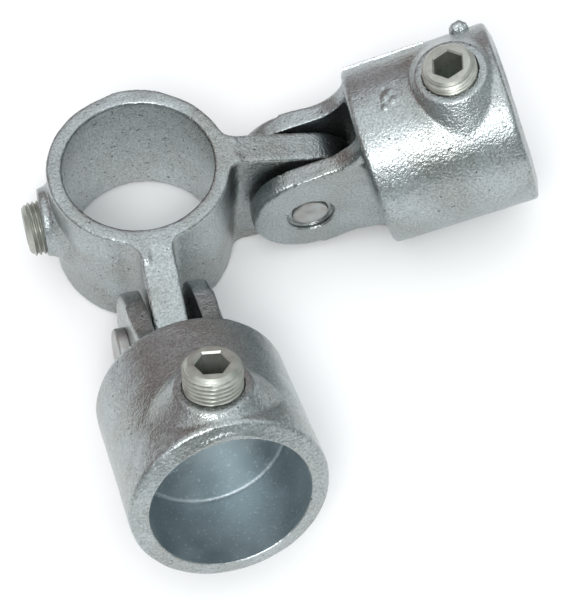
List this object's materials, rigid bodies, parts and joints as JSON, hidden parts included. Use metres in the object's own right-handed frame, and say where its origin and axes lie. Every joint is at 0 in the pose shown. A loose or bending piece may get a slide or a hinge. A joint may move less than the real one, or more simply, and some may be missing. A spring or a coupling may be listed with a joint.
{
  "type": "tube clamp corner swivel",
  "caption": "Galvanised cast-iron corner clamp for structural tube: a set-screw collar with swivelling blind sockets on riveted pins.",
  "frame": {"origin": "middle of the collar's bore: on its axis and half way along its height", "axes": "+Z along the collar's bore, out of the face that the tongues run level with; +X along tongue A; -Y along tongue B"},
  "size_m": [0.1745, 0.1657, 0.0838],
  "materials": {
    "galvanised_casting": "hot-dip galvanised over a sand-cast surface, satin with bright speckle",
    "rivet_steel": "galvanised steel, satin",
    "plated_screw": "zinc-flake plated, satin, greenish grey"
  },
  "bodies": {
    "collar": {"collar_body": "galvanised_casting"},
    "swivel_a": {"socket_body_a": "galvanised_casting", "pivot_pin_a": "rivet_steel"},
    "swivel_b": {"socket_body_b": "galvanised_casting", "pivot_pin_b": "rivet_steel"},
    "screw_collar": {"set_screw_collar": "plated_screw"},
    "screw_a": {"set_screw_a": "plated_screw"},
    "screw_b": {"set_screw_b": "plated_screw"}
  },
  "joints": [
    {"name": "swing_a", "type": "hinge", "parent": "collar", "child": "swivel_a", "pos_m": [0.0547, 0, -0.0022], "axis": [0, -1, 0], "range_deg": [-101, 68]},
    {"name": "swing_b", "type": "hinge", "parent": "collar", "child": "swivel_b", "pos_m": [0.00015, -0.0547, -0.0022], "axis": [-0.9963, -0.0549, 0.0657], "range_deg": [-105, 63]},
    {"name": "screw_collar_travel", "type": "slide", "parent": "collar", "child": "screw_collar", "axis": [-0.9986, -0.0523, 0], "range_m": [-0.0027, 0.0035]},
    {"name": "screw_a_travel", "type": "slide", "parent": "swivel_a", "child": "screw_a", "axis": [-0.2588, 0, 0.9659], "range_m": [-0.0003, 0.005]},
    {"name": "screw_b_travel", "type": "slide", "parent": "swivel_b", "child": "screw_b", "axis": [0.0433, 0.3391, 0.9398], "range_m": [-0.0043, 0.0014]}
  ]
}
